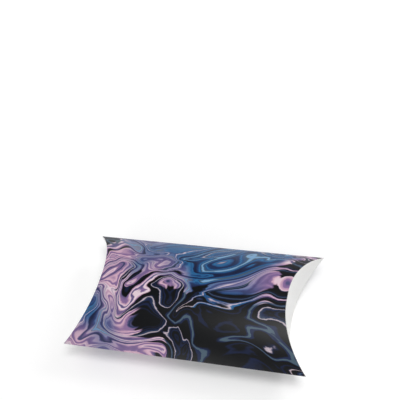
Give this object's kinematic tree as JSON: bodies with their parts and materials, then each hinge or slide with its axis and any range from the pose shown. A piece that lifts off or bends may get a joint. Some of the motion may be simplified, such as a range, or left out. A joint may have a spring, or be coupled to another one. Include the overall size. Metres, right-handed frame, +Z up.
{
  "type": "pillow box",
  "caption": "Pillow-shaped gift box folded and glued from one sheet of printed paperboard, with bowed panels and curved end flaps that fold out.",
  "frame": {"origin": "under the middle of the box, on the surface that its back panel lies on", "axes": "+X along the box to its right end, +Y across it to the long edge with the glued seam, +Z up through the front panel"},
  "size_m": [0.15, 0.082, 0.032],
  "materials": {
    "printed_board": "satin laminated print outside, white inside",
    "plain_board": "matt uncoated white",
    "adhesive": "dried dispersion glue"
  },
  "bodies": {
    "sleeve": {"front_panel": "printed_board", "back_panel": "printed_board", "glue_flap": "plain_board", "glue_line": "adhesive"},
    "right_outer_flap": {"right_outer_flap": "plain_board"},
    "right_inner_flap": {"right_inner_flap": "plain_board"},
    "left_outer_flap": {"left_outer_flap": "plain_board"},
    "left_inner_flap": {"left_inner_flap": "plain_board"}
  },
  "joints": [
    {"name": "right_outer_flap_fold", "type": "hinge", "parent": "sleeve", "child": "right_outer_flap", "pos_m": [0.059, 0, 0.032], "axis": [0, -1, 0], "range_deg": [0, 90]},
    {"name": "right_inner_flap_fold", "type": "hinge", "parent": "sleeve", "child": "right_inner_flap", "pos_m": [0.05805, 0, 0], "axis": [0, 1, 0], "range_deg": [0, 45]},
    {"name": "left_outer_flap_fold", "type": "hinge", "parent": "sleeve", "child": "left_outer_flap", "pos_m": [-0.059, 0, 0.032], "axis": [0, 1, 0], "range_deg": [0, 90]},
    {"name": "left_inner_flap_fold", "type": "hinge", "parent": "sleeve", "child": "left_inner_flap", "pos_m": [-0.05805, 0, 0], "axis": [0, -1, 0], "range_deg": [0, 45]}
  ],
  "couplings": [
    {"joint": "right_inner_flap_fold", "follows": "right_outer_flap_fold", "ratio": 0.5},
    {"joint": "left_inner_flap_fold", "follows": "left_outer_flap_fold", "ratio": 0.5}
  ]
}
